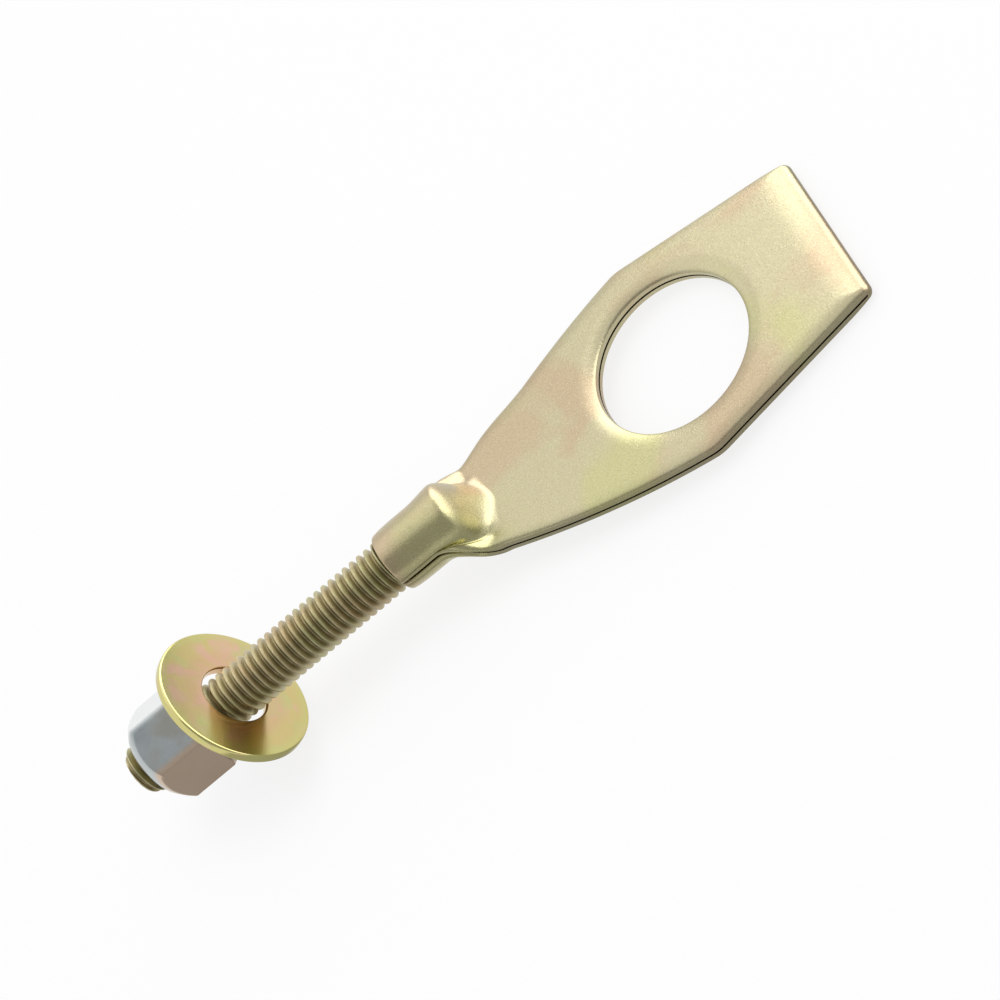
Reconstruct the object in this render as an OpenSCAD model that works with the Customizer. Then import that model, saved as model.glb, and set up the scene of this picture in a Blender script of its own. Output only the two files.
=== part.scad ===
// Motorcycle chain adjuster.
// One strip of sheet steel is folded double at its wide end. The axle passes through
// a hole in both leaves, and the narrow ends close as two half sleeves round a stud.
// A washer and a nut on the stud pull the axle back to set the chain's slack.
//
// The origin is the centre of the axle hole, midway between the two leaves.
// +X runs along the stud towards the fold, and +Z is square to the plate.

/* [Plate] */
// Thickness of the sheet
sheet_t = 1; // [0.8:0.05:1.5]
// Space left between the two leaves
leaf_gap = 0.25; // [0.1:0.05:0.4]
// Diameter of the axle hole
hole_d = 18.2; // [12:0.1:20]
// Distance from the hole's centre to the outside of the fold
fold_reach = 20.4; // [17:0.1:30]
// Width of the plate at the fold
fold_w = 20.5; // [18:0.1:26]
// Width of the plate at its shoulders, where it is widest
shoulder_w = 27.5; // [25:0.1:34]
// Distance from the hole's centre back to the shoulders
shoulder_back = 1; // [0:0.1:4]
// Distance from the hole's centre back to where the taper meets the neck
neck_back = 28.5; // [27.5:0.1:29.5]
// How far the taper's sides bow outwards
taper_bow = 1.1; // [0:0.1:1.5]
// Width of the rolled edge on the outer faces
roll_w = 1.1; // [0.3:0.1:1.3]
// Depth of the rolled edge on the outer faces
roll_h = 0.5; // [0.2:0.05:0.6]
// Width of the rounded rim of the axle hole
rim_w = 1.2; // [0.3:0.1:1.5]
// Depth of the rounded rim of the axle hole
rim_h = 0.5; // [0.2:0.05:0.6]

/* [Sleeve] */
// Distance from the hole's centre back to the sleeve's mouth
mouth_back = 36; // [34:0.1:42]
// Distance from the hole's centre back to the foot of the sleeve's inner end
dome_back = 23.1; // [21:0.1:24]
// Length over which the sleeve's inner end slopes down to the plate
dome_len = 3.5; // [3:0.1:6]
// Distance from the hole's centre back to where the leaves start to curl
curl_back = 25.5; // [24:0.1:26]
// Length over which the leaves curl from flat to half sleeves
curl_len = 6; // [4:0.1:7]
// Thickness of the sleeve's wall, which the pressing draws thinner than the sheet
sleeve_t = 0.6; // [0.5:0.05:1]
// Fillet between the sleeve and the flat of the plate
fillet_r = 1.2; // [0.5:0.1:2]
// Length over which the sleeve's mouth is rounded
mouth_round = 2.6; // [1:0.1:3]
// Thickness of the lip left at the sleeve's mouth
mouth_lip = 0.35; // [0.25:0.05:0.5]

/* [Stud] */
// Diameter of the stud over its thread
stud_d = 5.9; // [4.9:0.1:6.4]
// Length of the stud that stands out of the sleeve
stud_out = 36.2; // [30:0.1:60]
// Length of the stud that is held inside the sleeve
stud_in = 8.5; // [5:0.1:9]
// Length of the chamfer at each end of the stud
stud_chamfer = 0.7; // [0.3:0.1:1.2]
// Pitch of the thread, which the solid shows as one ring for each turn
thread_pitch = 1; // [0.7:0.05:1.25]
// Clearance between the stud and the sleeve
sleeve_fit = 0.05; // [0.05:0.01:0.2]

/* [Washer] */
// Outer diameter of the washer
washer_d = 17.1; // [13:0.1:22]
// Thickness of the washer
washer_t = 1.1; // [0.9:0.1:1.6]
// Clearance round the stud in the bore of the leaning washer
washer_fit = 0.06; // [0.05:0.01:0.4]
// Lean of the washer, its top towards the nut
washer_lean = 26; // [0:1:28]
// Turn of the washer towards the far side
washer_yaw = -4.5; // [-10:0.5:10]
// Radius of the washer's rounded edges
washer_edge = 0.25; // [0.1:0.05:0.35]

/* [Nut] */
// Width of the nut across its flats
nut_af = 10; // [9:0.1:12]
// Height of the nut
nut_h = 8; // [5:0.1:9]
// Length of stud that stands out past the nut
tip_out = 1.8; // [0.5:0.1:6]
// Clearance between the nut's bore and the stud
nut_fit = 0.05; // [0.02:0.01:0.09]
// Depth of the rounding at the nut's outer end
nut_crown = 2; // [0.5:0.1:2.5]
// Clearance between the nut's face and the washer
face_fit = 0.5; // [0.03:0.01:0.8]

/* [Hidden] */

$fn = 96;
far = 100;

stud_r = stud_d / 2;
bore_r = stud_r + sleeve_fit;
sleeve_r = bore_r + sheet_t;
outer_z = leaf_gap / 2 + sheet_t;
inner_z = leaf_gap / 2;
stud_z = inner_z + bore_r;
bend_x = fold_reach - outer_z;

// The neck is as wide as the half sleeve that it bends into, up to half of the seam.
seam_angle = asin(leaf_gap / 2 / bore_r);
neck_half = (bore_r + sheet_t / 2) * (90 - seam_angle) * PI / 180;

tip_x = -(mouth_back + stud_out);
nut_outer_x = tip_x + tip_out;
nut_face_x = nut_outer_x + nut_h;
nut_face_r = nut_af * 0.475;

// The washer's axis leans by washer_lean and turns by washer_yaw, and its back face
// stops clear of the nut's face. Its bore is as wide as that lean needs.
lean_cos = cos(washer_lean) * cos(washer_yaw);
lean_sin = sqrt(1 - lean_cos * lean_cos);
washer_x = nut_face_x + (nut_face_r * lean_sin + washer_t / 2 + face_fit) / lean_cos;
washer_bore = (stud_d + 2 * washer_fit + washer_t * lean_sin) / lean_cos;

function mix(a, b, f) = a + (b - a) * f;
function unit(v) = v / norm(v);
function ease(f) = let (c = min(max(f, 0), 1)) c * c * (3 - 2 * c);
function smooth_min(a, b, k) = min(a, b) - pow(max(k - abs(a - b), 0), 2) / (4 * k);

// Half-width of the plate at x: straight sides to the shoulders, then a bowed taper
// down to the neck.
function side_half(x) = mix(shoulder_w, fold_w, (x + shoulder_back) / (fold_reach + shoulder_back)) / 2;
function taper_half(x) =
    let (f = (-shoulder_back - x) / (neck_back - shoulder_back))
    mix(shoulder_w / 2, sleeve_r, f) + 4 * taper_bow * f * (1 - f);
function half_w(x) =
    let (side = smooth_min(side_half(x), x < 0 ? taper_half(x) : far, 0.3))
    -smooth_min(-side, -neck_half, 0.6);

// How far the leaves have closed into a tube, and how far the upper leaf has risen.
function curl(x) = ease((-curl_back - x) / curl_len);
function dome(x) = ease((-dome_back - x) / dome_len);

// Thickness of the sheet, which gets thinner as it curls and ends as the mouth's lip.
function wall(x) =
    let (f = min((x + mouth_back) / mouth_round, 1))
    mix(mouth_lip, mix(sheet_t, sleeve_t, curl(x)), sqrt(max(1 - (1 - f) * (1 - f), 0)));

// A leaf's section, drawn from the middle to one edge in steps 0 to STEPS.
STEPS = 12;
ARC = 7;

// Flat leaf
function flat_line(w, z) = [for (k = [0:STEPS]) [w * k / STEPS, z]];

// Hat over the stud: a half circle, a fillet and a flange out to the edge
function hat_line(w, r, foot, z, fillet_x, fillet_z) = [
    for (k = [0:ARC]) let (a = 90 - 90 * k / ARC) [r * cos(a), stud_z + r * sin(a)],
    for (k = [0:STEPS - ARC - 2]) let (a = 90 * k / (STEPS - ARC - 2))
        [foot - fillet_x * cos(a), z + fillet_z * (1 - sin(a))],
    [w, z]
];

// Half sleeve over the stud. The steps of the hat's arc keep near their angles, so that
// nothing dips into the bore.
KNEE = 10;
function tube_angle(k, short) =
    k <= ARC ? mix(90, KNEE, k / ARC) : mix(KNEE, short, (k - ARC) / (STEPS - ARC));
function tube_line(r, short) = [
    for (k = [0:STEPS]) let (a = tube_angle(k, short)) [r * cos(a), stud_z + r * sin(a)]
];

// Lower leaf bent through the angle phi on each side, its middle layer w wide and mid
// high. The line lies off below the middle layer and covers a part of the width.
function bent_line(w, phi, mid, off, part) =
    let (r = phi > 0 ? w / (phi * PI / 180) : 0)
    [for (k = [0:STEPS]) let (a = phi * part * k / STEPS)
        phi > 0 ? [(r + off) * sin(a), mid + r - (r + off) * cos(a)] : [w * part * k / STEPS, mid - off]];

// The same line with its edge moved to end
function fitted(line, end) = [
    for (k = [0:STEPS]) line[k] + (end - line[STEPS]) * pow(k / STEPS, 2)
];

// A whole section is a closed loop: the outer face, a rolled edge, the inner face and
// the other rolled edge.
function mirror_y(p) = [-p[0], p[1]];
function rolled_edge(corner, out, down, w, h) = [
    for (a = [30, 60, 90]) corner - out * w * (1 - sin(a)) + down * h * (1 - cos(a))
];
function loop_of(outer, edge, inner) = concat(
    [for (k = [STEPS:-1:1]) mirror_y(outer[k])], outer, edge,
    [for (k = [STEPS:-1:0]) inner[k]], [for (k = [1:STEPS]) mirror_y(inner[k])],
    [for (k = [2:-1:0]) mirror_y(edge[k])]
);

// Section of the lower leaf (side -1) or of the upper leaf (side 1). The upper leaf's
// edge follows the lower one's, a leaf_gap above it.
function section(x, side) =
    let (
        w = half_w(x),
        t = wall(x),
        ew = roll_w * t / sheet_t,
        eh = roll_h * t / sheet_t,
        c = curl(x),
        phi = (90 - seam_angle) * c,
        mid = mix(-inner_z, inner_z, c) - sheet_t / 2,
        below = bent_line(w, phi, mid, t - sheet_t / 2, 1),
        low_in = bent_line(w, phi, mid, -sheet_t / 2, 1),
        edge_in = low_in[STEPS] + [0, side > 0 ? leaf_gap : 0],
        out = [cos(phi), -side * sin(phi)],
        down = [-sin(phi), -side * cos(phi)],
        corner = side > 0 ? edge_in - down * t : below[STEPS],
        line_out = side > 0 ? upper_out(x, w, ew, t, c) : bent_line(w, phi, mid, t - sheet_t / 2, 1 - ew / w),
        line_in = side > 0 ? upper_in(x, w, c) : low_in
    )
    [for (p = loop_of(
        side > 0 ? fitted(line_out, corner - out * ew) : line_out,
        rolled_edge(corner, out, down, ew, eh),
        side > 0 ? fitted(line_in, edge_in) : line_in
    )) [x, p[0], p[1]]];

// Outer and inner face of the upper leaf: flat, raised as a hat, then closed as a tube
function foot_y(w) = min(sleeve_r + fillet_r, w - roll_w - 0.2);
function upper_out(x, w, ew, t, c) =
    let (
        r = bore_r + t,
        foot = foot_y(w),
        flat = flat_line(w - ew, outer_z),
        hat = hat_line(w - ew, r, foot, inner_z + t, foot - r, fillet_r),
        tube = tube_line(r, asin((leaf_gap / 2 + ew) / r))
    )
    mix(mix(flat, hat, dome(x)), tube, c);
function upper_in(x, w, c) =
    let (
        foot = foot_y(w),
        flat = flat_line(w, inner_z),
        hat = hat_line(w, bore_r, foot, inner_z, foot - bore_r, fillet_r + sheet_t)
    )
    mix(mix(flat, hat, dome(x)), tube_line(bore_r, seam_angle), c);

// Section of the fold at an angle from the lower leaf (-90) to the upper leaf (90)
function bend_section(a) =
    let (
        w = half_w(bend_x + outer_z * cos(a)),
        outer = flat_line(w - roll_w, outer_z),
        inner = flat_line(w, inner_z),
        edge = rolled_edge([w, outer_z], [1, 0], [0, -1], roll_w, roll_h)
    )
    [for (p = loop_of(outer, edge, inner)) [bend_x + p[1] * cos(a), p[0], p[1] * sin(a)]];

// Places of the sections along one leaf, from the mouth to the bend
form_first = min(curl_back, dome_back);
form_last = max(curl_back + curl_len, dome_back + dome_len);
stations = concat(
    [for (f = [0, 0.08, 0.25, 0.5, 1]) -mouth_back + mouth_round * f],
    [for (k = [0:16]) -mix(form_last, form_first, k / 16)],
    [for (k = [1:7]) -mix(form_first, shoulder_back + 0.8, k / 7)],
    [-shoulder_back - 0.3, -shoulder_back, -shoulder_back + 0.3, -shoulder_back + 0.8, bend_x]
);

module folded_sheet() {
    last = len(stations) - 1;
    rings = concat(
        [for (x = stations) section(x, -1)],
        [for (a = [-67.5:22.5:67.5]) bend_section(a)],
        [for (k = [last:-1:0]) section(stations[k], 1)]
    );
    n = len(rings[0]);
    m = len(rings);
    points = [for (ring = rings, p = ring) p];
    sides = [
        for (i = [0:m - 2], j = [0:n - 1])
            let (a = i * n + j, b = i * n + (j + 1) % n)
            each [[a, b, b + n], [a, b + n, a + n]]
    ];
    ends = [[for (j = [n - 1:-1:0]) j], [for (j = [0:n - 1]) (m - 1) * n + j]];
    polyhedron(points, concat(sides, ends));
}

// Cutter that rounds the rim of the axle hole on the outer face
module rim_round() {
    r = hole_d / 2;
    low = outer_z - rim_h;
    rotate_extrude()
        polygon(concat(
            [[r - 1, outer_z + 1], [r - 1, low]],
            [for (a = [0:30:90]) [r + rim_w * (1 - cos(a)), low + rim_h * sin(a)]],
            [[r + rim_w, outer_z + 1]]
        ));
}

module plate() {
    color("#cfc592")
        difference() {
            folded_sheet();
            cylinder(h = far, d = hole_d, center = true);
            rim_round();
            mirror([0, 0, 1]) rim_round();
        }
}

// A turned profile laid along the stud, measured forward from x
module along_stud(x) {
    translate([x, 0, stud_z]) rotate([0, 90, 0]) rotate_extrude() children();
}

// The thread's outline: flat crests and 60 degree grooves, one for each turn
module stud() {
    length = stud_out + stud_in;
    end_r = stud_r - stud_chamfer * 0.8;
    root_r = stud_r - thread_pitch * 0.6;
    crest = thread_pitch / 8;
    flank = (stud_r - root_r) * tan(30);
    turns = floor((length - 2 * stud_chamfer) / thread_pitch);
    start = (length - turns * thread_pitch) / 2;
    color("#8f8660")
        along_stud(tip_x)
            polygon(concat(
                [[0, 0], [end_r, 0], [stud_r, stud_chamfer]],
                [for (i = [0:turns - 1]) let (s = start + i * thread_pitch, e = s + thread_pitch) each [
                    [stud_r, s + crest / 2], [root_r, s + crest / 2 + flank],
                    [root_r, e - crest / 2 - flank], [stud_r, e - crest / 2]
                ]],
                [[stud_r, length - stud_chamfer], [end_r, length], [0, length]]
            ));
}

module washer() {
    color("#d8c27a")
        translate([washer_x, 0, stud_z])
            rotate([0, 90 - washer_lean, washer_yaw])
                rotate_extrude()
                    translate([washer_bore / 2, -washer_t / 2])
                        washer_section((washer_d - washer_bore) / 2);
}

// Half section of the washer, its corners rounded by washer_edge
module washer_section(w) {
    e = washer_edge;
    translate([e, 0]) square([w - 2 * e, washer_t]);
    translate([0, e]) square([w, washer_t - 2 * e]);
    for (x = [e, w - e], y = [e, washer_t - e])
        translate([x, y]) circle(e, $fn = 32);
}

module nut() {
    bore = stud_r + nut_fit;
    corner_r = nut_af / 2 / cos(30);
    color("#cfcfc8")
        difference() {
            intersection() {
                translate([nut_outer_x, 0, stud_z]) rotate([0, 90, 0])
                    cylinder(h = nut_h, r = corner_r, $fn = 6);
                along_stud(nut_outer_x)
                    polygon([
                        [0, 0], [nut_af * 0.36, 0], [nut_af * 0.47, nut_crown * 0.4],
                        [corner_r + 0.1, nut_crown], [corner_r + 0.1, nut_h - 0.6],
                        [nut_face_r, nut_h], [0, nut_h]
                    ]);
            }
            along_stud(nut_outer_x)
                polygon([
                    [0, -1], [bore + 0.5, -1], [bore + 0.5, 0], [bore, 0.5],
                    [bore, nut_h - 0.5], [bore + 0.5, nut_h], [bore + 0.5, nut_h + 1], [0, nut_h + 1]
                ]);
        }
}

plate();
stud();
washer();
nut();
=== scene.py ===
"""Motorcycle chain adjuster: a strip of sheet steel folded double, its ends pressed round
a threaded stud, with a washer and a nut. All four pieces are plated with zinc.

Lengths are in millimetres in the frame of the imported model, and turn into metres where a
mesh, a pattern, a lamp or the camera is made."""
import math
from functools import partial

import bmesh
import bpy
import numpy as np
from mathutils import Matrix, Quaternion, Vector


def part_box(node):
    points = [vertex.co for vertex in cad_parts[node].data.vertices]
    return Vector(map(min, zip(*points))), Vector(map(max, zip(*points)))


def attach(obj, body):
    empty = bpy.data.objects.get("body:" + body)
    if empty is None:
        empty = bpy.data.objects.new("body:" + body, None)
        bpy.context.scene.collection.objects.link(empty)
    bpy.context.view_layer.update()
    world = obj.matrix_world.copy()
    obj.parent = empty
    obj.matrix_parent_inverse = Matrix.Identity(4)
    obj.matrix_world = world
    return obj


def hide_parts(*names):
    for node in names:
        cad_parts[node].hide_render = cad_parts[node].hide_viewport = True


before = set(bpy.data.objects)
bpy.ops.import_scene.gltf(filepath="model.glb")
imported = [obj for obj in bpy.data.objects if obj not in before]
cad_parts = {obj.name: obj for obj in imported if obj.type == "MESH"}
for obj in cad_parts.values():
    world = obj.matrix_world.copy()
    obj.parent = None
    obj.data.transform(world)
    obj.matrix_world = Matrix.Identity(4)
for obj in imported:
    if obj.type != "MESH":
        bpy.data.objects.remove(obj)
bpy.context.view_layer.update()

MM = 0.001


# Sizes from the frame
def box_mm(node):
    low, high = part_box(node)
    return Vector(low) / MM, Vector(high) / MM


plate_low, plate_high = box_mm("plate")
stud_low, stud_high = box_mm("stud")
washer_low, washer_high = box_mm("washer")
nut_low, nut_high = box_mm("nut")

MOUTH_X = plate_low.x
FOLD_X = plate_high.x
OUTER_Z = -plate_low.z

STUD_R = (stud_high.y - stud_low.y) / 2
STUD_Z = (stud_high.z + stud_low.z) / 2
TIP_X = stud_low.x
STUD_INNER_X = stud_high.x

WASHER_X = (washer_low.x + washer_high.x) / 2

NUT_OUTER_X = nut_low.x
NUT_FACE_X = nut_high.x
NUT_FLAT = (nut_high.y - nut_low.y) / 2

# Plate, with the sizes of the part's source
SHEET_T = 1.0
INNER_Z = OUTER_Z - SHEET_T
HOLE_R = 9.1
FOLD_W, SHOULDER_W = 20.5, 27.5
SHOULDER_X = -1.0
NECK_X = -28.5
TAPER_BOW = 1.1
CURL_X, CURL_LEN = -25.5, 6.0
FILLET_R = 1.2
MOUTH_ROUND, MOUTH_LIP = 2.6, 0.35
SLEEVE_T = 0.6
BORE_R = STUD_Z - INNER_Z
SLEEVE_R = BORE_R + SHEET_T
SEAM_ANGLE = math.asin(INNER_Z / BORE_R)
NECK_HALF = (BORE_R + SHEET_T / 2) * (math.pi / 2 - SEAM_ANGLE)

# Dome at the sleeve's inner end, rounder than in the part's source: where it starts, over
# what length it rises, and how much later it starts towards the sides
DOME_X, DOME_LEN, DOME_BOW = -23.6, 4.4, 0.035

# The outline's corners are rounded over these widths, and the pocket's foot stays this far
# inside the edge
SHOULDER_SOFT, NECK_SOFT = 0.3, 0.6
FOOT_MARGIN = 1.3

# The faces sink a little before the fold, over this length
SINK, SINK_LEN = 0.3, 3.0
BEND_R = OUTER_Z - SINK
BEND_X = FOLD_X - BEND_R

# The punch draws the sheet's edges down over this width and depth, wider than in the part's
# source, and narrower round the fold and at the sleeve, with the place and length of each
# change
ROLL_W, ROLL_H = 2.0, 0.5
ROLL_FOLD, ROLL_FOLD_LEN = 0.7, 3
ROLL_SLEEVE, ROLL_SLEEVE_X, ROLL_SLEEVE_LEN = 0.7, -18, 9
RIM_W, RIM_H = 2.0, 0.55

# Far side of the neck, which the press leaves wider: by how much, and where that starts and
# ends, each with its length
FAR_NECK = 1.0
FAR_START_X, FAR_START_LEN = -15, 8
FAR_END_X, FAR_END_LEN = -26, 4

# Stud and nut thread: pitch, share of the pitch that the crest keeps, flank depth, the
# flank's angle to the axis, the play in the nut, and the chamfer at the stud's ends
PITCH = 1.0
CREST = 1 / 8
THREAD_DEPTH = 0.6 * PITCH
FLANK_ANGLE = math.pi / 3
THREAD_GAP = 0.05
CHAMFER_LEN, CHAMFER_DEPTH = 0.7, 0.56

WASHER_R = 8.55
WASHER_T = 1.1
WASHER_BORE = 7.26 / 2
WASHER_EDGE = 0.25
WASHER_LEAN, WASHER_YAW = math.radians(26), math.radians(-4.5)

# Nut: bore, its countersink at both ends, the rounded outer end as distance from the end
# and radius, and the small chamfer at the washer
NUT_BORE, COUNTERSINK_R = 2.46, 3.5
NUT_CROWN = [(0.0, 3.6), (0.3, 4.15), (0.8, 4.72), (1.4, 5.33)]
NUT_CROWN_LEN = 2.0
NUT_FOOT_LEN, NUT_FOOT_SHARE = 0.6, 0.95
NUT_SOFT = 0.25
PAST_CORNER = 0.1


# Small helpers
def mix(a, b, f):
    return a + (b - a) * f


def ease(f):
    """From 0 to 1 with a soft start and end, for f from 0 to 1."""
    f = np.clip(f, 0, 1)
    return f * f * (3 - 2 * f)


def smooth_min(a, b, k):
    """The lesser of two values, rounded where they are less than k apart."""
    return np.minimum(a, b) - np.maximum(k - np.abs(a - b), 0) ** 2 / (4 * k)


def new_object(name, points_mm, faces):
    mesh = bpy.data.meshes.new(name)
    mesh.from_pydata((np.asarray(points_mm) * MM).tolist(), [], faces)
    mesh.update()
    obj = bpy.data.objects.new(name, mesh)
    bpy.context.scene.collection.objects.link(obj)
    return obj


def rectangle(name, half_x, half_y):
    return new_object(name, [(-half_x, -half_y, 0), (half_x, -half_y, 0), (half_x, half_y, 0),
                             (-half_x, half_y, 0)], [(0, 1, 2, 3)])


def ring_faces(rings, count, closed=True):
    """Quads between neighbouring rings of count points, and back to the first if closed."""
    return [
        (i * count + j, i * count + (j + 1) % count,
         (i + 1) % rings * count + (j + 1) % count, (i + 1) % rings * count + j)
        for i in range(rings if closed else rings - 1) for j in range(count)
    ]


def clean(obj):
    """Merges doubles and turns every face outwards."""
    merge = 1e-4 * MM
    bm = bmesh.new()
    bm.from_mesh(obj.data)
    bmesh.ops.remove_doubles(bm, verts=bm.verts, dist=merge)
    bmesh.ops.dissolve_degenerate(bm, edges=bm.edges, dist=merge)
    bmesh.ops.recalc_face_normals(bm, faces=bm.faces)
    bm.to_mesh(obj.data)
    bm.free()


def freeze(obj):
    """Replaces the object's mesh by the result of its modifiers."""
    depsgraph = bpy.context.evaluated_depsgraph_get()
    mesh = bpy.data.meshes.new_from_object(obj.evaluated_get(depsgraph))
    obj.modifiers.clear()
    obj.data = mesh
    mesh.name = obj.name


def cut(obj, tool):
    mod = obj.modifiers.new("cut", "BOOLEAN")
    mod.operation = "DIFFERENCE"
    mod.solver = "EXACT"
    mod.object = tool
    freeze(obj)
    bpy.data.objects.remove(tool)


def smooth(obj, crease=32):
    """Smooth shading that keeps large faces flat, with creases past an angle in degrees."""
    mesh = obj.data
    mesh.polygons.foreach_set("use_smooth", [True] * len(mesh.polygons))
    mesh.set_sharp_from_angle(angle=math.radians(crease))
    mod = obj.modifiers.new("flat faces", "WEIGHTED_NORMAL")
    mod.keep_sharp = True
    freeze(obj)


def lathe(name, profile, turns):
    """Closed ring of a closed (radius, height) profile, turned round Z."""
    angles = np.linspace(0, 2 * np.pi, turns, endpoint=False)
    points = [(r * np.cos(a), r * np.sin(a), h) for a in angles for r, h in profile]
    return new_object(name, points, ring_faces(turns, len(profile)))


# Plate
def half_w(x):
    """Half the strip's width: the straight sides, the taper, and the strip in the sleeve."""
    side = mix(SHOULDER_W, FOLD_W, (x - SHOULDER_X) / (FOLD_X - SHOULDER_X)) / 2
    if x < 0:
        f = (SHOULDER_X - x) / (SHOULDER_X - NECK_X)
        taper = mix(SHOULDER_W / 2, SLEEVE_R, f) + 4 * TAPER_BOW * f * (1 - f)
        side = smooth_min(side, taper, SHOULDER_SOFT)
    return -float(smooth_min(-side, -NECK_HALF, NECK_SOFT))


def curl(x):
    """0 where the strip is flat across, 1 where it is closed round the stud."""
    return ease((CURL_X - x) / CURL_LEN)


def wall(x):
    """Thickness: drawn thinner at the sleeve, and rounded off at its mouth."""
    f = min((x - MOUTH_X) / MOUTH_ROUND, 1)
    full = mix(SHEET_T, SLEEVE_T, curl(x))
    return mix(MOUTH_LIP, full, math.sqrt(max(1 - (1 - f) ** 2, 0)))


# A leaf's section is drawn from its middle to one edge, by a parameter: the top of the hat is
# an arc up to ARC, then come its straight side, its fillet and its brim
ARC, SIDE, FILLET, BRIM = 7, 8, 11, 12
ALONG = np.concatenate([
    np.linspace(0, ARC, 22)[:-1], np.linspace(ARC, SIDE, 4)[:-1],
    np.linspace(SIDE, FILLET, 12)[:-1], np.linspace(FILLET, BRIM, 8),
])
TUBE_ARC_END = 10  # degrees above the stud's axis, where ALONG passes ARC on the tube


def flat_line(half, z):
    return np.stack([half * ALONG / BRIM, np.full_like(ALONG, z)], 1)


def hat_line(half, r, foot, z, fillet_y, fillet_z):
    """Half round of radius r over the stud, down its side, out along a fillet, and flat."""
    top = np.radians(90 - 90 * np.clip(ALONG / ARC, 0, 1))
    turn = np.radians(90 * np.clip((ALONG - SIDE) / (FILLET - SIDE), 0, 1))
    y = np.where(ALONG <= ARC, r * np.cos(top), foot - fillet_y * np.cos(turn))
    h = np.where(ALONG <= ARC, STUD_Z + r * np.sin(top), z + fillet_z * (1 - np.sin(turn)))
    down = np.clip((ALONG - ARC) / (SIDE - ARC), 0, 1)
    h = np.where((ALONG > ARC) & (ALONG < SIDE), mix(STUD_Z, z + fillet_z, down), h)
    y = np.where(ALONG > FILLET, mix(foot, half, (ALONG - FILLET) / (BRIM - FILLET)), y)
    return np.stack([y, h], 1)


def tube_line(r, end):
    """Round the stud, from its top to an end angle in degrees above its axis."""
    angle = np.radians(np.where(ALONG <= ARC, mix(90, TUBE_ARC_END, ALONG / ARC),
                                mix(TUBE_ARC_END, end, (ALONG - ARC) / (BRIM - ARC))))
    return np.stack([r * np.cos(angle), STUD_Z + r * np.sin(angle)], 1)


def bent_line(half, bend, mid, off, part):
    """Lower leaf, bent through an angle on each side, at off below its middle layer."""
    along = part * ALONG / BRIM
    if bend == 0:
        return np.stack([half * along, np.full_like(along, mid - off)], 1)
    r = half / bend
    return np.stack([(r + off) * np.sin(bend * along),
                     mid + r - (r + off) * np.cos(bend * along)], 1)


def fitted(line, end):
    """The same line with its edge moved to end."""
    return line + (end - line[-1]) * ((ALONG / BRIM) ** 2)[:, None]


def rolled_edge(corner, out, down, width, depth):
    """Quarter ellipse that replaces a corner, from the outer face to the edge."""
    turn = np.radians(np.linspace(0, 90, 11)[1:])[:, None]
    return corner - out * width * (1 - np.sin(turn)) + down * depth * (1 - np.cos(turn))


def loop_of(far, near):
    """Closed loop of a half section on the far side and one on the near side."""
    return np.concatenate([far, near[1:-1][::-1] * [-1, 1]])


def section(x, side):
    """Section of the lower leaf (side -1), or of the upper leaf (1), whose edge rides on it."""
    half = half_w(x)
    far = half + FAR_NECK * ease((FAR_START_X - x) / FAR_START_LEN) * (
        1 - ease((FAR_END_X - x) / FAR_END_LEN))
    loop = loop_of(half_section(x, side, far), half_section(x, side, half))
    return np.column_stack([np.full(len(loop), x), loop])


def half_section(x, side, half):
    """Outer face from the middle to the edge, the rolled edge, and the inner face back."""
    curled, thick = curl(x), wall(x)
    roll_w = mix(ROLL_W, ROLL_FOLD, ease((x - BEND_X + ROLL_FOLD_LEN) / ROLL_FOLD_LEN))
    roll_w = mix(roll_w, ROLL_SLEEVE * thick / SLEEVE_T,
                 ease((ROLL_SLEEVE_X - x) / ROLL_SLEEVE_LEN))
    roll_h = ROLL_H * thick / SHEET_T
    sunk = SINK * max(1 - (BEND_X - x) / SINK_LEN, 0) ** 2
    bend = (math.pi / 2 - SEAM_ANGLE) * curled
    mid = mix(-INNER_Z, INNER_Z, curled) - SHEET_T / 2
    out = np.array([math.cos(bend), -side * math.sin(bend)])
    down = np.array([-math.sin(bend), -side * math.cos(bend)])
    off = thick - SHEET_T / 2 - sunk
    inner = bent_line(half, bend, mid, -SHEET_T / 2, 1)
    if side < 0:
        corner = bent_line(half, bend, mid, off, 1)[-1]
        outer = bent_line(half, bend, mid, off, 1 - roll_w / half)
    else:
        edge = inner[-1] + np.array([0, 2 * INNER_Z])
        corner = edge - down * (thick - sunk)
        outer, inner = upper_lines(x, half, thick, roll_w, curled)
        outer, inner = outer - [0, sunk], fitted(inner, edge)
        outer = fitted(outer, corner - out * roll_w)
    return np.concatenate([outer, rolled_edge(corner, out, down, roll_w, roll_h), inner[::-1]])


def upper_lines(x, half, thick, roll_w, curled):
    """Outer and inner face of the upper leaf: flat, raised as a hat, then closed as a tube."""
    foot = min(SLEEVE_R + FILLET_R, half - FOOT_MARGIN)
    r = BORE_R + thick
    hat_out = hat_line(max(half - roll_w, foot), r, foot, INNER_Z + thick, foot - r, FILLET_R)
    hat_in = hat_line(half, BORE_R, foot, INNER_Z, foot - BORE_R, FILLET_R + SHEET_T)
    tube_out = tube_line(r, math.degrees(math.asin((INNER_Z + roll_w) / r)))
    tube_in = tube_line(BORE_R, math.degrees(SEAM_ANGLE))
    outer = mix(raised(x, flat_line(half - roll_w, OUTER_Z), hat_out), tube_out, curled)
    inner = mix(raised(x, flat_line(half, INNER_Z), hat_in), tube_in, curled)
    return outer, inner


def raised(x, flat, hat):
    """From the flat line to the hat, later towards the sides, so that the dome's end is round."""
    f = ease((DOME_X - x - DOME_BOW * hat[:, 0] ** 2) / DOME_LEN)
    return mix(flat, hat, f[:, None])


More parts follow.
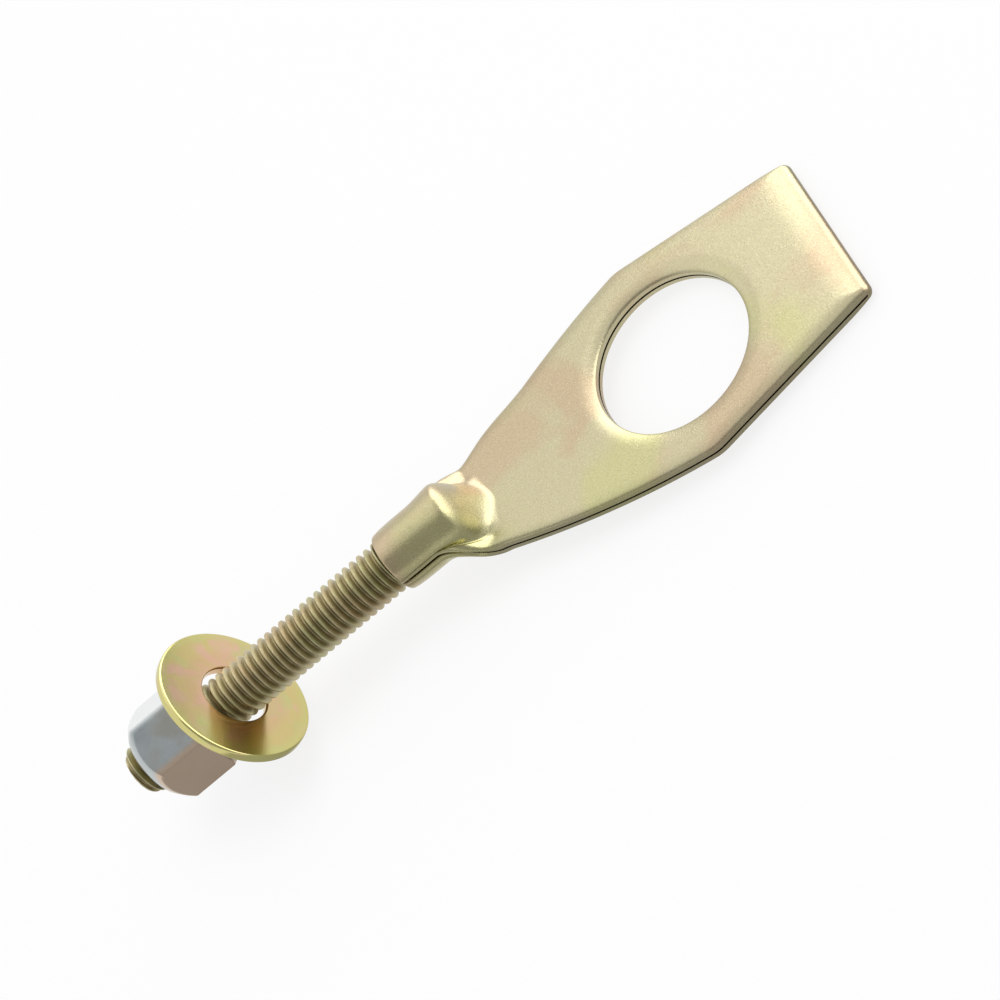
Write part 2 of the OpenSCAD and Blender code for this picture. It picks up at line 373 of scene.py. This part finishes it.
def bend_section(angle):
    """Section of the fold, at an angle in degrees round its axis."""
    a = math.radians(angle)
    half = half_w(BEND_X + BEND_R * math.cos(a))
    edge = rolled_edge(np.array([half, BEND_R]), np.array([1.0, 0.0]), np.array([0.0, -1.0]),
                       ROLL_FOLD, ROLL_H)
    line = np.concatenate([flat_line(half - ROLL_FOLD, BEND_R), edge,
                           flat_line(half, INNER_Z)[::-1]])
    loop = loop_of(line, line)
    return np.column_stack([BEND_X + loop[:, 1] * math.cos(a), loop[:, 0],
                            loop[:, 1] * math.sin(a)])


def plate_stations():
    """Where a leaf's sections stand, closer together where the form changes."""
    mouth = MOUTH_X + MOUTH_ROUND * (1 - np.cos(np.linspace(0, np.pi / 2, 12)))
    round_x = MOUTH_X + MOUTH_ROUND
    margin = 0.2
    closed_x = CURL_X - CURL_LEN - margin
    flat_x = max(CURL_X, DOME_X) + margin
    corner_low, corner_high = SHOULDER_X - 0.6, SHOULDER_X + 1.0
    spans = [mouth] + [np.linspace(*span) for span in (
        (round_x, closed_x, 9), (closed_x, flat_x, 52), (flat_x, corner_low, 44),
        (corner_low, corner_high, 10), (corner_high, BEND_X, 30))]
    return np.concatenate([span[:-1] for span in spans[:-1]] + spans[-1:])


def make_plate():
    """One strip: the lower leaf from its mouth to the fold, and the upper leaf back."""
    stations = plate_stations()
    rings = [section(x, -1) for x in stations]
    rings += [bend_section(a) for a in np.linspace(-90, 90, 25)[1:-1]]
    rings += [section(x, 1) for x in stations[::-1]]
    count = len(rings[0])
    last = (len(rings) - 1) * count
    faces = ring_faces(len(rings), count, closed=False)
    faces += [tuple(range(count))[::-1], tuple(range(last, last + count))]
    plate = new_object("folded_plate", np.concatenate(rings), faces)
    clean(plate)
    cut(plate, axle_hole_tool())
    smooth(plate)
    return plate


def axle_hole_tool():
    """Axle hole, with the broad rounding that the punch leaves on both outer faces. The
    rounding runs out of each face along a nearly level cone."""
    cone_w, cone_h, past = 2.0, 0.03, 2
    rise = [(HOLE_R + RIM_W * (1 - math.cos(t)), OUTER_Z - RIM_H * (1 - math.sin(t)))
            for t in np.radians(np.linspace(0, 87, 15))]
    rise.append((rise[-1][0] + cone_w, OUTER_Z + cone_h))
    widest, end_z = rise[-1][0], OUTER_Z + past
    profile = [(0, end_z), (widest, end_z)] + rise[::-1]
    profile += [(r, -h) for r, h in rise] + [(widest, -end_z), (0, -end_z)]
    tool = lathe("axle hole tool", profile, turns=256)
    clean(tool)
    return tool


# Node helpers
def fill(tree, socket, value):
    """Links another node's output to a socket, or sets the socket's value."""
    if isinstance(value, bpy.types.NodeSocket):
        tree.links.new(value, socket)
    else:
        socket.default_value = value


def maths(tree, operation, *values, clamp=False):
    node = tree.nodes.new("ShaderNodeMath")
    node.operation, node.use_clamp = operation, clamp
    for socket, value in zip(node.inputs, values):
        fill(tree, socket, value)
    return node.outputs[0]


def vector_maths(tree, operation, *values):
    node = tree.nodes.new("ShaderNodeVectorMath")
    node.operation = operation
    for socket, value in zip(node.inputs, values):
        fill(tree, socket, value)
    return node.outputs["Value" if operation in ("LENGTH", "DISTANCE") else "Vector"]


def add_node(tree, kind, settings=None, **values):
    """Adds a node, sets its fields, and fills its inputs. An input goes by its name, or by i
    and its place."""
    node = tree.nodes.new(kind)
    for field, value in (settings or {}).items():
        setattr(node, field, value)
    for label, value in values.items():
        by_place = label[0] == "i" and label[1:].isdigit()
        fill(tree, node.inputs[int(label[1:]) if by_place else label.replace("_", " ")], value)
    return node


def add_input(tree, name, kind, value=None):
    socket = tree.interface.new_socket(name, in_out="INPUT", socket_type=f"NodeSocket{kind}")
    if value is not None:
        socket.default_value = value


def add_output(tree, name, kind):
    tree.interface.new_socket(name, in_out="OUTPUT", socket_type=f"NodeSocket{kind}")


# Thread: rows of the grid for each pitch, columns round it, and the turns that close each end
THREAD_ROWS = 16
THREAD_COLUMNS = 64
END_TURNS = 2


def thread_tree():
    """Closed screw thread along X. Rows of the grid follow the helix, so the crest stays
    sharp, and both ends close to a flat face with a chamfer."""
    tree = bpy.data.node_groups.new("Screw thread", "GeometryNodeTree")
    add_output(tree, "Geometry", "Geometry")
    for name in ("Radius", "Depth", "Crest", "Pitch", "Start", "End", "Chamfer",
                 "Chamfer radius", "Height", "Phase"):
        add_input(tree, name, "Float")
    for name, kind in (("Rows", "Int"), ("Columns", "Int"), ("Material", "Material")):
        add_input(tree, name, kind)
    given = tree.nodes.new("NodeGroupInput").outputs
    calc = partial(maths, tree)

    grid = add_node(tree, "GeometryNodeMeshGrid", Size_X=1, Size_Y=1,
                    Vertices_X=given["Rows"], Vertices_Y=given["Columns"])
    position = tree.nodes.new("GeometryNodeInputPosition").outputs[0]
    place = add_node(tree, "ShaderNodeSeparateXYZ", Vector=position)
    # the grid is centred, so a half is added for both to run from 0 to 1
    row = calc("ADD", place.outputs["X"], 0.5)
    column = calc("ADD", place.outputs["Y"], 0.5)
    # whole length of the grid: the thread and the turns that close each end
    length = calc("DIVIDE", calc("SUBTRACT", given["End"], given["Start"]), given["Pitch"])
    turns = calc("CEIL", calc("ADD", length, 2 * END_TURNS - 1))
    wound = calc("ADD", calc("MULTIPLY", row, turns), column)
    raw = calc("MULTIPLY", calc("SUBTRACT", wound, END_TURNS), given["Pitch"])
    raw = calc("ADD", raw, given["Start"])
    # radius by the thread's profile: distance from the crest's middle, in pitches
    phase = calc("DIVIDE", calc("SUBTRACT", raw, given["Phase"]), given["Pitch"])
    phase = calc("FRACT", calc("SUBTRACT", phase, column))
    off = calc("ABSOLUTE", calc("SUBTRACT", phase, 0.5))
    flank = calc("SUBTRACT", off, calc("MULTIPLY", given["Crest"], 0.5))
    flank = calc("MULTIPLY", flank, math.tan(FLANK_ANGLE))
    groove = calc("MAXIMUM", calc("MULTIPLY", flank, given["Pitch"]), 0.0)
    radius = calc("SUBTRACT", given["Radius"], calc("MINIMUM", groove, given["Depth"]))
    # chamfer at both ends, and then the flat end face
    slope = calc("DIVIDE", calc("SUBTRACT", given["Radius"], given["Chamfer radius"]),
                 given["Chamfer"])
    for into in (calc("SUBTRACT", raw, given["Start"]), calc("SUBTRACT", given["End"], raw)):
        cone = calc("MULTIPLY", calc("MAXIMUM", into, 0.0), slope)
        radius = calc("MINIMUM", radius, calc("ADD", given["Chamfer radius"], cone))
        disc = calc("ADD", calc("DIVIDE", into, given["Pitch"]), 1.0, clamp=True)
        radius = calc("MULTIPLY", radius, disc)
    x = calc("MINIMUM", calc("MAXIMUM", raw, given["Start"]), given["End"])
    angle = calc("MULTIPLY", column, 2 * math.pi)
    y = calc("MULTIPLY", radius, calc("COSINE", angle))
    z = calc("ADD", calc("MULTIPLY", radius, calc("SINE", angle)), given["Height"])
    point = add_node(tree, "ShaderNodeCombineXYZ", X=x, Y=y, Z=z)
    moved = add_node(tree, "GeometryNodeSetPosition", Geometry=grid.outputs["Mesh"],
                     Position=point.outputs[0])
    merged = add_node(tree, "GeometryNodeMergeByDistance", Geometry=moved.outputs[0],
                      Distance=0.001 * MM)
    real = add_node(tree, "GeometryNodeRealizeInstances", Geometry=merged.outputs[0])
    dressed = add_node(tree, "GeometryNodeSetMaterial", Geometry=real.outputs[0],
                       Material=given["Material"])
    add_node(tree, "NodeGroupOutput", Geometry=dressed.outputs[0])
    return tree


def make_thread(name, tree, material, start, end, radius, chamfer_r):
    obj = new_object(name, [(0, 0, 0)], [])
    mod = obj.modifiers.new("thread", "NODES")
    mod.node_group = tree
    turns = math.ceil((end - start) / PITCH + (2 * END_TURNS - 1))
    values = {
        "Radius": radius * MM, "Depth": THREAD_DEPTH * MM, "Crest": CREST,
        "Pitch": PITCH * MM, "Start": start * MM, "End": end * MM,
        "Chamfer": CHAMFER_LEN * MM, "Chamfer radius": chamfer_r * MM,
        "Height": STUD_Z * MM, "Phase": TIP_X * MM, "Rows": turns * THREAD_ROWS + 1,
        "Columns": THREAD_COLUMNS + 1, "Material": material,
    }
    for item in tree.interface.items_tree:
        if item.item_type == "SOCKET" and item.in_out == "INPUT":
            mod[item.identifier] = values[item.name]
    freeze(obj)
    clean(obj)
    return obj


def make_stud(tree, material):
    stud = make_thread("threaded_stud", tree, material, TIP_X, STUD_INNER_X, radius=STUD_R,
                       chamfer_r=STUD_R - CHAMFER_DEPTH)
    smooth(stud, crease=40)
    return stud


# Washer and nut
def rounded_corner(x, y, r, start):
    """Quarter circle round (x, y) from an angle in degrees, anticlockwise."""
    angles = np.radians(np.linspace(start, start + 90, 7))
    return [(x + r * math.cos(a), y + r * math.sin(a)) for a in angles]


def washer_turn():
    tilt = Matrix.Rotation(math.pi / 2 - WASHER_LEAN, 4, "Y")
    return Matrix.Rotation(WASHER_YAW, 4, "Z") @ tilt


def make_washer():
    edge = WASHER_EDGE
    inner, outer, high = WASHER_BORE + edge, WASHER_R - edge, WASHER_T / 2 - edge
    profile = (
        rounded_corner(outer, high, edge, 0) + rounded_corner(inner, high, edge, 90)
        + rounded_corner(inner, -high, edge, 180) + rounded_corner(outer, -high, edge, 270)
    )
    washer = lathe("flat_washer", profile, turns=160)
    place = Matrix.Translation(Vector((WASHER_X, 0, STUD_Z)) * MM)
    washer.data.transform(place @ washer_turn())
    clean(washer)
    smooth(washer)
    return washer


def nut_rings(angles):
    """Rings of the nut from its outer end to the washer, and back through its bore, each as
    its distance from the outer end and its radii."""
    length = NUT_FACE_X - NUT_OUTER_X
    past_r = NUT_FLAT / math.cos(math.pi / 6) + PAST_CORNER
    limits = np.array(NUT_CROWN + [
        (NUT_CROWN_LEN, past_r), (length - NUT_FOOT_LEN, past_r),
        (length, NUT_FLAT * NUT_FOOT_SHARE)])
    foot_zone = length - 0.9
    xs = np.unique(np.concatenate([
        np.linspace(0, NUT_CROWN_LEN, 26), np.linspace(NUT_CROWN_LEN, foot_zone, 12),
        np.linspace(foot_zone, length, 14),
    ]))
    # flats face -Y and +Y, corners point up and down
    off = (angles + math.pi / 6) % (math.pi / 3) - math.pi / 6
    hexagon = NUT_FLAT / np.cos(off)
    rings = [(x, smooth_min(hexagon, np.interp(x, limits[:, 0], limits[:, 1]), NUT_SOFT))
             for x in xs]
    sink = COUNTERSINK_R - NUT_BORE
    inside = [(length, COUNTERSINK_R), (length - sink, NUT_BORE), (sink, NUT_BORE),
              (0, COUNTERSINK_R)]
    return rings + [(x, np.full(len(angles), r)) for x, r in inside]


def make_nut(tree, material):
    """Hexagon with a rounded outer end, tapped by the same thread as the stud."""
    angles = np.linspace(0, 2 * np.pi, 288, endpoint=False)
    rings = nut_rings(angles)
    points = [(NUT_OUTER_X + x, r * math.cos(a), STUD_Z + r * math.sin(a))
              for x, radii in rings for a, r in zip(angles, radii)]
    nut = new_object("hex_nut", points, ring_faces(len(rings), len(angles)))
    clean(nut)
    past, tap_chamfer = 2, 0.3
    tap = make_thread("tap", tree, material, NUT_OUTER_X - past, NUT_FACE_X + past,
                      radius=STUD_R + THREAD_GAP, chamfer_r=STUD_R - tap_chamfer)
    cut(nut, tap)
    smooth(nut, crease=30)
    return nut


# Shader groups
def srgb(red, green, blue):
    """A colour as seen, 0 to 255, turned into the renderer's linear values."""
    def linear(c):
        c = c / 255
        return c / 12.92 if c <= 0.04045 else ((c + 0.055) / 1.055) ** 2.4
    return (linear(red), linear(green), linear(blue), 1.0)


def grey(shade):
    return (shade, shade, shade, 1)


def new_group(name, inputs, outputs):
    group = bpy.data.node_groups.new(name, "ShaderNodeTree")
    for label, kind, value in inputs:
        add_input(group, label, kind, value)
    for label in outputs:
        add_output(group, label, "Color" if label == "Color" else "Float")
    given = group.nodes.new("NodeGroupInput").outputs
    return group, given, group.nodes.new("NodeGroupOutput").inputs


def noise(tree, vector, scale, detail, rough, distort=0.0):
    node = add_node(tree, "ShaderNodeTexNoise", Vector=vector, Scale=scale, Detail=detail,
                    Roughness=rough, Distortion=distort)
    return node.outputs["Fac"]


def map_range(tree, value, low, high, most=1.0):
    """0 where a value is at low, growing smoothly to the most where it is at high."""
    node = add_node(tree, "ShaderNodeMapRange", {"interpolation_type": "SMOOTHSTEP"},
                    Value=value, From_Min=low, From_Max=high, To_Min=0.0, To_Max=most)
    return node.outputs["Result"]


def fade(tree, distance, low, high, most=1.0):
    """The same for a distance, with low and high in mm."""
    return map_range(tree, distance, low * MM, high * MM, most)


def blend(tree, factor, first, second):
    node = add_node(tree, "ShaderNodeMix", {"data_type": "RGBA"}, i0=factor, i6=first,
                    i7=second)
    return node.outputs[2]


def film_group():
    """Passivation film on zinc: slow drifts of colour between three tints."""
    group, given, out = new_group(
        "Zinc film",
        [("Vector", "Vector", None), ("Patches per metre", "Float", 200.0),
         ("Base", "Color", None), ("Warm tint", "Color", None), ("Cool tint", "Color", None),
         ("Spread", "Float", 1.0)],
        ["Color"])
    patches, spread = given["Patches per metre"], given["Spread"]
    elsewhere = (0.31, 0.17, 0.43)
    shifted = vector_maths(group, "ADD", given["Vector"], elsewhere)
    warm = noise(group, given["Vector"], patches, detail=3, rough=0.55, distort=0.6)
    cool = noise(group, shifted, patches, detail=2, rough=0.5, distort=0.4)
    warm = maths(group, "MULTIPLY", map_range(group, warm, low=0.46, high=0.64), spread)
    cool = maths(group, "MULTIPLY", map_range(group, cool, low=0.48, high=0.66), spread)
    colour = blend(group, warm, given["Base"], given["Warm tint"])
    colour = blend(group, cool, colour, given["Cool tint"])
    group.links.new(colour, out["Color"])
    return group


def grain_group():
    """Fine grain of plated steel: height for the bump, masks of specks and pits, roughness."""
    group, given, out = new_group(
        "Plated grain",
        [("Vector", "Vector", None), ("Grains per metre", "Float", 4000.0),
         ("Roughness", "Float", 0.3), ("Variation", "Float", 0.1)],
        ["Height", "Speck", "Pit", "Roughness"])
    coarser, coarse_height = 0.22, 0.6
    grains = given["Grains per metre"]
    fewer = maths(group, "MULTIPLY", grains, coarser)
    fine = noise(group, given["Vector"], grains, detail=4, rough=0.65)
    coarse = noise(group, given["Vector"], fewer, detail=3, rough=0.6)
    centred = maths(group, "SUBTRACT", coarse, 0.5)
    results = {
        "Height": maths(group, "MULTIPLY_ADD", coarse, coarse_height, fine),
        "Speck": map_range(group, fine, low=0.52, high=0.80, most=0.8),
        "Pit": map_range(group, fine, low=0.48, high=0.22, most=0.8),
        "Roughness": maths(group, "MULTIPLY_ADD", centred, given["Variation"],
                           given["Roughness"]),
    }
    for label, result in results.items():
        group.links.new(result, out[label])
    return group


# Materials
GRAINS_PER_METRE = 5200.0
GRAIN_HEIGHT = 0.05


def plated(name, film, grain, patches, spread, rough, vary, bump, **tints):
    """Zinc-plated steel: the film's colours over the grain. Returns the material, its Object
    coordinates, the film's colour and the grain, for what the material adds to them."""
    material = bpy.data.materials.new(name)
    material.use_nodes = True
    tree = material.node_tree
    shader = tree.nodes["Principled BSDF"].inputs
    shader["Metallic"].default_value = 1.0
    vector = tree.nodes.new("ShaderNodeTexCoord").outputs["Object"]
    tint = add_node(tree, "ShaderNodeGroup", {"node_tree": film}, Vector=vector,
                    Patches_per_metre=patches, Spread=spread, **tints)
    skin = add_node(tree, "ShaderNodeGroup", {"node_tree": grain}, Vector=vector,
                    Grains_per_metre=GRAINS_PER_METRE, Roughness=rough, Variation=vary)
    relief = add_node(tree, "ShaderNodeBump", Height=skin.outputs["Height"], Strength=bump,
                      Distance=GRAIN_HEIGHT * MM)
    tree.links.new(relief.outputs[0], shader["Normal"])
    tree.links.new(skin.outputs["Roughness"], shader["Roughness"])
    return material, vector, tint.outputs["Color"], skin


def coloured(material, colour, *coats):
    """Gives a material its colour, with coats over it, each a mask and the coat's colour."""
    tree = material.node_tree
    for mask, coat in coats:
        colour = blend(tree, mask, colour, coat)
    tree.links.new(colour, tree.nodes["Principled BSDF"].inputs["Base Color"])
    return material


def plate_material(film, grain):
    material, _, colour, skin = plated(
        "plate zinc", film, grain, patches=75.0, spread=0.8, rough=0.27, vary=0.12, bump=0.4,
        Base=srgb(186, 178, 145), Warm_tint=srgb(184, 163, 134),
        Cool_tint=srgb(185, 182, 132))
    return coloured(material, colour, (skin.outputs["Speck"], srgb(210, 204, 178)),
                    (skin.outputs["Pit"], srgb(160, 151, 120)))


def stud_material(film, grain):
    """Painted shade at the bottom of the thread's grooves."""
    material, vector, colour, _ = plated(
        "stud zinc", film, grain, patches=160.0, spread=0.8, rough=0.4, vary=0.12, bump=0.3,
        Base=srgb(192, 182, 147), Warm_tint=srgb(186, 166, 132),
        Cool_tint=srgb(182, 182, 140))
    tree = material.node_tree
    # painted shade: darker towards the bottom of the thread's grooves
    from_axis = vector_maths(tree, "MULTIPLY_ADD", vector, (0, 1, 1), (0, 0, -STUD_Z * MM))
    painted_groove_shade = fade(tree, vector_maths(tree, "LENGTH", from_axis), low=STUD_R - 0.1,
                high=STUD_R - THREAD_DEPTH)
    return coloured(material, colour, (painted_groove_shade, srgb(158, 147, 113)))


def washer_material(film, grain):
    """Pinker round its bore and greener on its rim."""
    material, vector, colour, _ = plated(
        "washer zinc", film, grain, patches=260.0, spread=0.9, rough=0.12, vary=0.06,
        bump=0.12, Base=srgb(210, 192, 132), Warm_tint=srgb(222, 184, 158),
        Cool_tint=srgb(200, 198, 136))
    tree = material.node_tree
    centre = Vector((WASHER_X, 0, STUD_Z)) * MM
    radius = vector_maths(tree, "DISTANCE", vector, centre)
    round_bore = fade(tree, radius, low=6.6, high=5.0, most=0.45)
    rim = fade(tree, radius, low=7.2, high=8.2, most=0.7)
    return coloured(material, colour, (round_bore, srgb(216, 172, 142)),
                    (rim, srgb(206, 202, 132)))


def nut_material(film, grain):
    """Silver near face, painted reflections: whiter far side, gold-pink low side; painted shade at
    the end under the washer.
    """
    material, vector, colour, _ = plated(
        "nut zinc", film, grain, patches=120.0, spread=0.6, rough=0.24, vary=0.1, bump=0.2,
        Base=srgb(184, 192, 194), Warm_tint=srgb(172, 166, 150),
        Cool_tint=srgb(150, 160, 164))
    tree = material.node_tree
    place = add_node(tree, "ShaderNodeSeparateXYZ", Vector=vector).outputs
    # painted reflections on the far and low sides, and painted shade on the end in the gap under
    # the washer
    painted_far_reflection = fade(tree, place["Y"], low=0.0, high=1.2)
    painted_low_reflection = fade(tree, place["Y"], low=-3.9, high=-4.7, most=0.85)
    painted_gap_shade = fade(tree, place["X"], low=NUT_FACE_X - 0.5, high=NUT_FACE_X - 0.05)
    return coloured(material, colour, (painted_far_reflection, srgb(234, 236, 236)),
                    (painted_low_reflection, srgb(204, 178, 152)), (painted_gap_shade, srgb(66, 58, 44)))


def stage_material(name):
    material = bpy.data.materials.new(name)
    material.use_nodes = True
    material.node_tree.nodes.clear()
    return material


def finish_tree(tree, target, shader):
    """Ends a material's or the world's tree with the node that its shader feeds."""
    add_node(tree, f"ShaderNodeOutput{target}", Surface=shader.outputs[0])


# Camera, light and floor
CAMERA_AT = (55.822, -218.329, 235.458)
CAMERA_TO = (-22.592, -2.825, 3.125)
CAMERA_ROLL = -54.3376
CAMERA_LENS = 115.676
CAMERA_SENSOR = 36

PART_MIDDLE_X = -22

WORLD_GREY = 0.8

# Floor: half its size, its own white, how much of the background's white it takes, the gap
# under the part, and how much darker its shaded part is
FLOOR_HALF = 1500
FLOOR_WHITE = 0.9
FLOOR_LIFT = 0.8
FLOOR_GAP = 0.02
FLOOR_SHADE = 0.6

# How far the washer slides towards the plate, with the floor still clear of its rim
WASHER_TRAVEL = 19.5


def make_camera():
    camera = bpy.data.objects.new("camera", bpy.data.cameras.new("camera"))
    bpy.context.scene.collection.objects.link(camera)
    camera.data.sensor_width = CAMERA_SENSOR
    camera.data.lens = CAMERA_LENS
    place, target = Vector(CAMERA_AT) * MM, Vector(CAMERA_TO) * MM
    aim = (target - place).to_track_quat("-Z", "Y")
    roll = Quaternion((0, 0, 1), math.radians(CAMERA_ROLL))
    camera.matrix_world = Matrix.LocRotScale(place, aim @ roll, None)
    bpy.context.scene.camera = camera


def make_softbox(name, direction, distance, size, watts):
    """Area lamp at a distance from the part's middle, facing it."""
    data = bpy.data.lights.new(name, "AREA")
    data.shape, data.size, data.size_y = "RECTANGLE", size[0] * MM, size[1] * MM
    data.energy = watts
    lamp = bpy.data.objects.new(name, data)
    bpy.context.scene.collection.objects.link(lamp)
    away = Vector(direction).normalized()
    lamp.location = Vector((PART_MIDDLE_X, 0, 0)) * MM + away * distance * MM
    lamp.rotation_mode = "QUATERNION"
    lamp.rotation_quaternion = away.to_track_quat("Z", "Y")
    return lamp


def make_card(name, centre, facing, size, shade):
    """Bright or grey card that only the metal sees, as set up round shiny goods for a picture."""
    card = rectangle(name, size[0] / 2, size[1] / 2)
    card.location = Vector(centre) * MM
    card.rotation_mode = "QUATERNION"
    card.rotation_quaternion = Vector(facing).to_track_quat("Z", "Y")
    card.visible_camera = card.visible_diffuse = card.visible_shadow = False
    material = stage_material(name)
    tree = material.node_tree
    finish_tree(tree, "Material", add_node(tree, "ShaderNodeEmission", Color=grey(shade)))
    card.data.materials.append(material)


def make_world():
    world = bpy.data.worlds.new("studio")
    bpy.context.scene.world = world
    world.use_nodes = True
    tree = world.node_tree
    tree.nodes.clear()
    plain = add_node(tree, "ShaderNodeBackground", Color=grey(WORLD_GREY))
    white = add_node(tree, "ShaderNodeBackground", Color=grey(1))
    finish_tree(tree, "World", add_node(tree, "ShaderNodeMixShader", i0=background_rays(tree),
                                        i1=plain.outputs[0], i2=white.outputs[0]))


def background_rays(tree):
    """1 for rays that show the white background: to the camera, or off or through a piece."""
    path = tree.nodes.new("ShaderNodeLightPath").outputs
    total = maths(tree, "MAXIMUM", path["Is Camera Ray"], path["Is Glossy Ray"])
    return maths(tree, "MAXIMUM", total, path["Is Transmission Ray"])


def washer_rim_low():
    """Lowest point of the leaning washer, on the edge of the face that looks to the nut."""
    down = washer_turn() @ Vector((1, 0, 0))
    axis = washer_turn() @ Vector((0, 0, 1))
    rim = down * (WASHER_R - WASHER_EDGE) - axis * (WASHER_T / 2 - WASHER_EDGE)
    return Vector((WASHER_X, 0, STUD_Z)) + rim - Vector((0, 0, WASHER_EDGE))


def floor_line():
    """A point of the floor under the fold, and its slope up to there from the lowest point
    of the washer's rim when the washer has slid all its way."""
    front = Vector((FOLD_X - OUTER_Z, 0, plate_low.z - FLOOR_GAP))
    back = washer_rim_low() + Vector((WASHER_TRAVEL, 0, -FLOOR_GAP))
    return front, (front.z - back.z) / (front.x - back.x)


def make_floor():
    """Pale floor under the fold and under the washer's whole slide."""
    front, slope = floor_line()
    floor = rectangle("floor", FLOOR_HALF, FLOOR_HALF)
    floor.location = front * MM
    floor.rotation_euler = (0, -math.atan(slope), 0)
    material = stage_material("floor")
    tree = material.node_tree
    matt = add_node(tree, "ShaderNodeBsdfDiffuse", Color=grey(FLOOR_WHITE))
    glow = add_node(tree, "ShaderNodeEmission", Color=grey(1), Strength=reflected_floor(tree))
    lift = maths(tree, "MULTIPLY", background_rays(tree), FLOOR_LIFT)
    top = add_node(tree, "ShaderNodeMixShader", i0=lift, i1=matt.outputs[0],
                   i2=glow.outputs[0])
    # from below, the floor doesn't hide the part
    clear = tree.nodes.new("ShaderNodeBsdfTransparent")
    below = tree.nodes.new("ShaderNodeNewGeometry").outputs["Backfacing"]
    finish_tree(tree, "Material", add_node(tree, "ShaderNodeMixShader", i0=below,
                                           i1=top.outputs[0], i2=clear.outputs[0]))
    floor.data.materials.append(material)


def reflected_floor(tree):
    """1, but less where the metal sees the shaded floor in front of the part and past its fold."""
    vector = tree.nodes.new("ShaderNodeTexCoord").outputs["Object"]
    place = add_node(tree, "ShaderNodeSeparateXYZ", Vector=vector).outputs
    front = fade(tree, place["Y"], low=-3, high=-7)
    past_fold = fade(tree, place["X"], low=0.5, high=3)
    near = fade(tree, vector_maths(tree, "LENGTH", vector), low=150, high=110)
    zone = maths(tree, "MULTIPLY", maths(tree, "MAXIMUM", front, past_fold), near)
    path = tree.nodes.new("ShaderNodeLightPath").outputs
    zone = maths(tree, "MULTIPLY", zone, path["Is Glossy Ray"])
    return maths(tree, "MULTIPLY_ADD", zone, -FLOOR_SHADE, 1.0)


def light_studio():
    overhead = make_softbox("overhead softbox", direction=(0.1, 0.15, 1.0), distance=520,
                            size=(420, 320), watts=0.8)
    overhead.visible_glossy = False
    make_softbox("far softbox", direction=(0.42, 0.74, 0.45), distance=520, size=(420, 280),
                 watts=0.1)
    make_card("window card", centre=(238, 392, 244), facing=(-0.458, -0.754, -0.469),
              size=(540, 570), shade=2.7)
    make_card("side window card", centre=(452, 80, 244), facing=(-0.869, -0.153, -0.469),
              size=(480, 570), shade=2.7)
    make_card("near card", centre=(-22, -375, 340), facing=(0, 0.74, -0.67),
              size=(1400, 760), shade=0.45)
    make_card("neck card", centre=(-260, 260, 368), facing=(0.5, -0.5, -0.707),
              size=(360, 400), shade=1.35)


# Put together
bpy.context.scene.view_settings.view_transform = "Standard"
make_camera()
make_world()
light_studio()
make_floor()

film, grain = film_group(), grain_group()
plate_zinc = plate_material(film, grain)
stud_zinc = stud_material(film, grain)
washer_zinc = washer_material(film, grain)
nut_zinc = nut_material(film, grain)

thread = thread_tree()
plate = make_plate()
stud = make_stud(thread, stud_zinc)
washer = make_washer()
nut = make_nut(thread, nut_zinc)

for piece, node, body, material in (
    (plate, "plate", "adjuster", plate_zinc), (stud, "stud", "adjuster", stud_zinc),
    (washer, "washer", "washer", washer_zinc), (nut, "nut", "nut", nut_zinc),
):
    piece.data.materials.clear()
    piece.data.materials.append(material)
    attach(piece, body)
    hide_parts(node)
